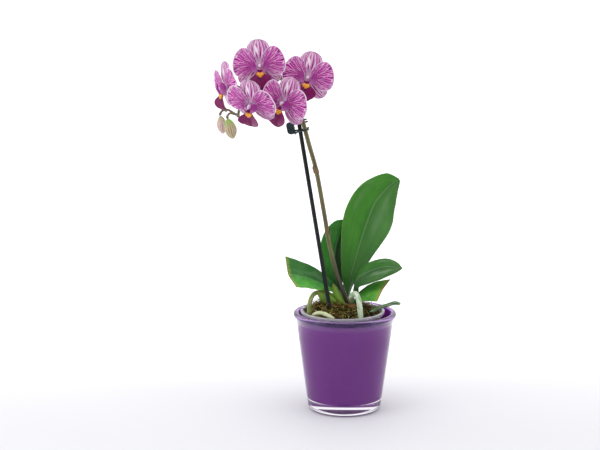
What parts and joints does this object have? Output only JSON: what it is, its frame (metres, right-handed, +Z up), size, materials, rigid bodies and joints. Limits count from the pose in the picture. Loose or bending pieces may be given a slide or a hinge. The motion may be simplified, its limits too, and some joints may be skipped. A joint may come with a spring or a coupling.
{
  "type": "potted moth orchid in a glass jar",
  "caption": "Moth orchid with an arching spike of striped magenta flowers, held to a stake by a claw clip, in a clear nursery pot inside a purple-lined glass jar.",
  "frame": {"origin": "middle of the flat foot of the glass jar, on the surface it stands on", "axes": "+Z up; the flowers face -Y; +X to the right as seen from the front, so the flower spike arches towards -X"},
  "size_m": [0.2002, 0.1242, 0.3968],
  "materials": {
    "jar_glass": "clear polished glass with a thick base and a rounded lip",
    "purple_lining": "smooth opaque purple lacquer seen through the glass",
    "clear_plastic": "thin clear thermoformed plastic, slightly cloudy",
    "bark_and_moss": "loose bark pieces and dry moss, matt",
    "bark": "rough pine bark, matt",
    "crown_tissue": "yellow-green leaf bases, satin",
    "leaf": "thick waxy green leaf, satin",
    "root": "silvery green velamen, matt",
    "spike": "smooth olive-brown stem, satin",
    "stake_plastic": "black-green coated stick, satin",
    "clip_plastic": "dark green-black moulded plastic, satin",
    "spring_steel": "drawn wire, bright",
    "petal": "magenta with pale veins and a white margin, softly matt",
    "sepal": "pink with darker stripes and a white margin, softly matt",
    "lip": "deep crimson-magenta with an orange callus, satin",
    "column": "pale pink with a cream cap, satin",
    "bud": "olive and dusty pink, striped, satin"
  },
  "bodies": {
    "plant": {"glass_jar": "jar_glass", "jar_lining": "purple_lining", "nursery_pot": "clear_plastic", "potting_mix": "bark_and_moss", "bark_chip_1": "bark", "bark_chip_2": "bark", "crown": "crown_tissue", "leaf_tall": "leaf", "leaf_behind": "leaf", "leaf_right": "leaf", "leaf_right_cut": "leaf", "leaf_left_cut": "leaf", "root_left": "root", "root_front": "root", "root_over_rim": "root", "root_pale": "root", "flower_spike": "spike", "stake": "stake_plastic", "clip_jaw_fixed": "clip_plastic", "clip_pin": "spring_steel", "clip_spring": "spring_steel", "bud_small": "bud", "bud_large": "bud", "flower_1_dorsal_sepal": "sepal", "flower_1_sepal_left": "sepal", "flower_1_sepal_right": "sepal", "flower_1_petal_left": "petal", "flower_1_petal_right": "petal", "flower_1_lip": "lip", "flower_1_column": "column", "flower_2_dorsal_sepal": "sepal", "flower_2_sepal_left": "sepal", "flower_2_sepal_right": "sepal", "flower_2_petal_left": "petal", "flower_2_petal_right": "petal", "flower_2_lip": "lip", "flower_2_column": "column", "flower_3_dorsal_sepal": "sepal", "flower_3_sepal_left": "sepal", "flower_3_sepal_right": "sepal", "flower_3_petal_left": "petal", "flower_3_petal_right": "petal", "flower_3_lip": "lip", "flower_3_column": "column", "flower_4_dorsal_sepal": "sepal", "flower_4_sepal_left": "sepal", "flower_4_sepal_right": "sepal", "flower_4_petal_left": "petal", "flower_4_petal_right": "petal", "flower_4_lip": "lip", "flower_4_column": "column", "flower_5_dorsal_sepal": "sepal", "flower_5_sepal_left": "sepal", "flower_5_sepal_right": "sepal", "flower_5_petal_left": "petal", "flower_5_petal_right": "petal", "flower_5_lip": "lip", "flower_5_column": "column"},
    "moving_jaw": {"clip_jaw_moving": "clip_plastic"}
  },
  "joints": [
    {"name": "clip_open", "type": "hinge", "parent": "plant", "child": "moving_jaw", "pos_m": [-0.05427, 0.0097, 0.30293], "axis": [-0.215, 0.1521, 0.9647], "range_deg": [0, 25], "stiffness_Nm_per_rad": 0.01, "springref_deg": -20.05, "deforming": ["clip_spring"]}
  ]
}
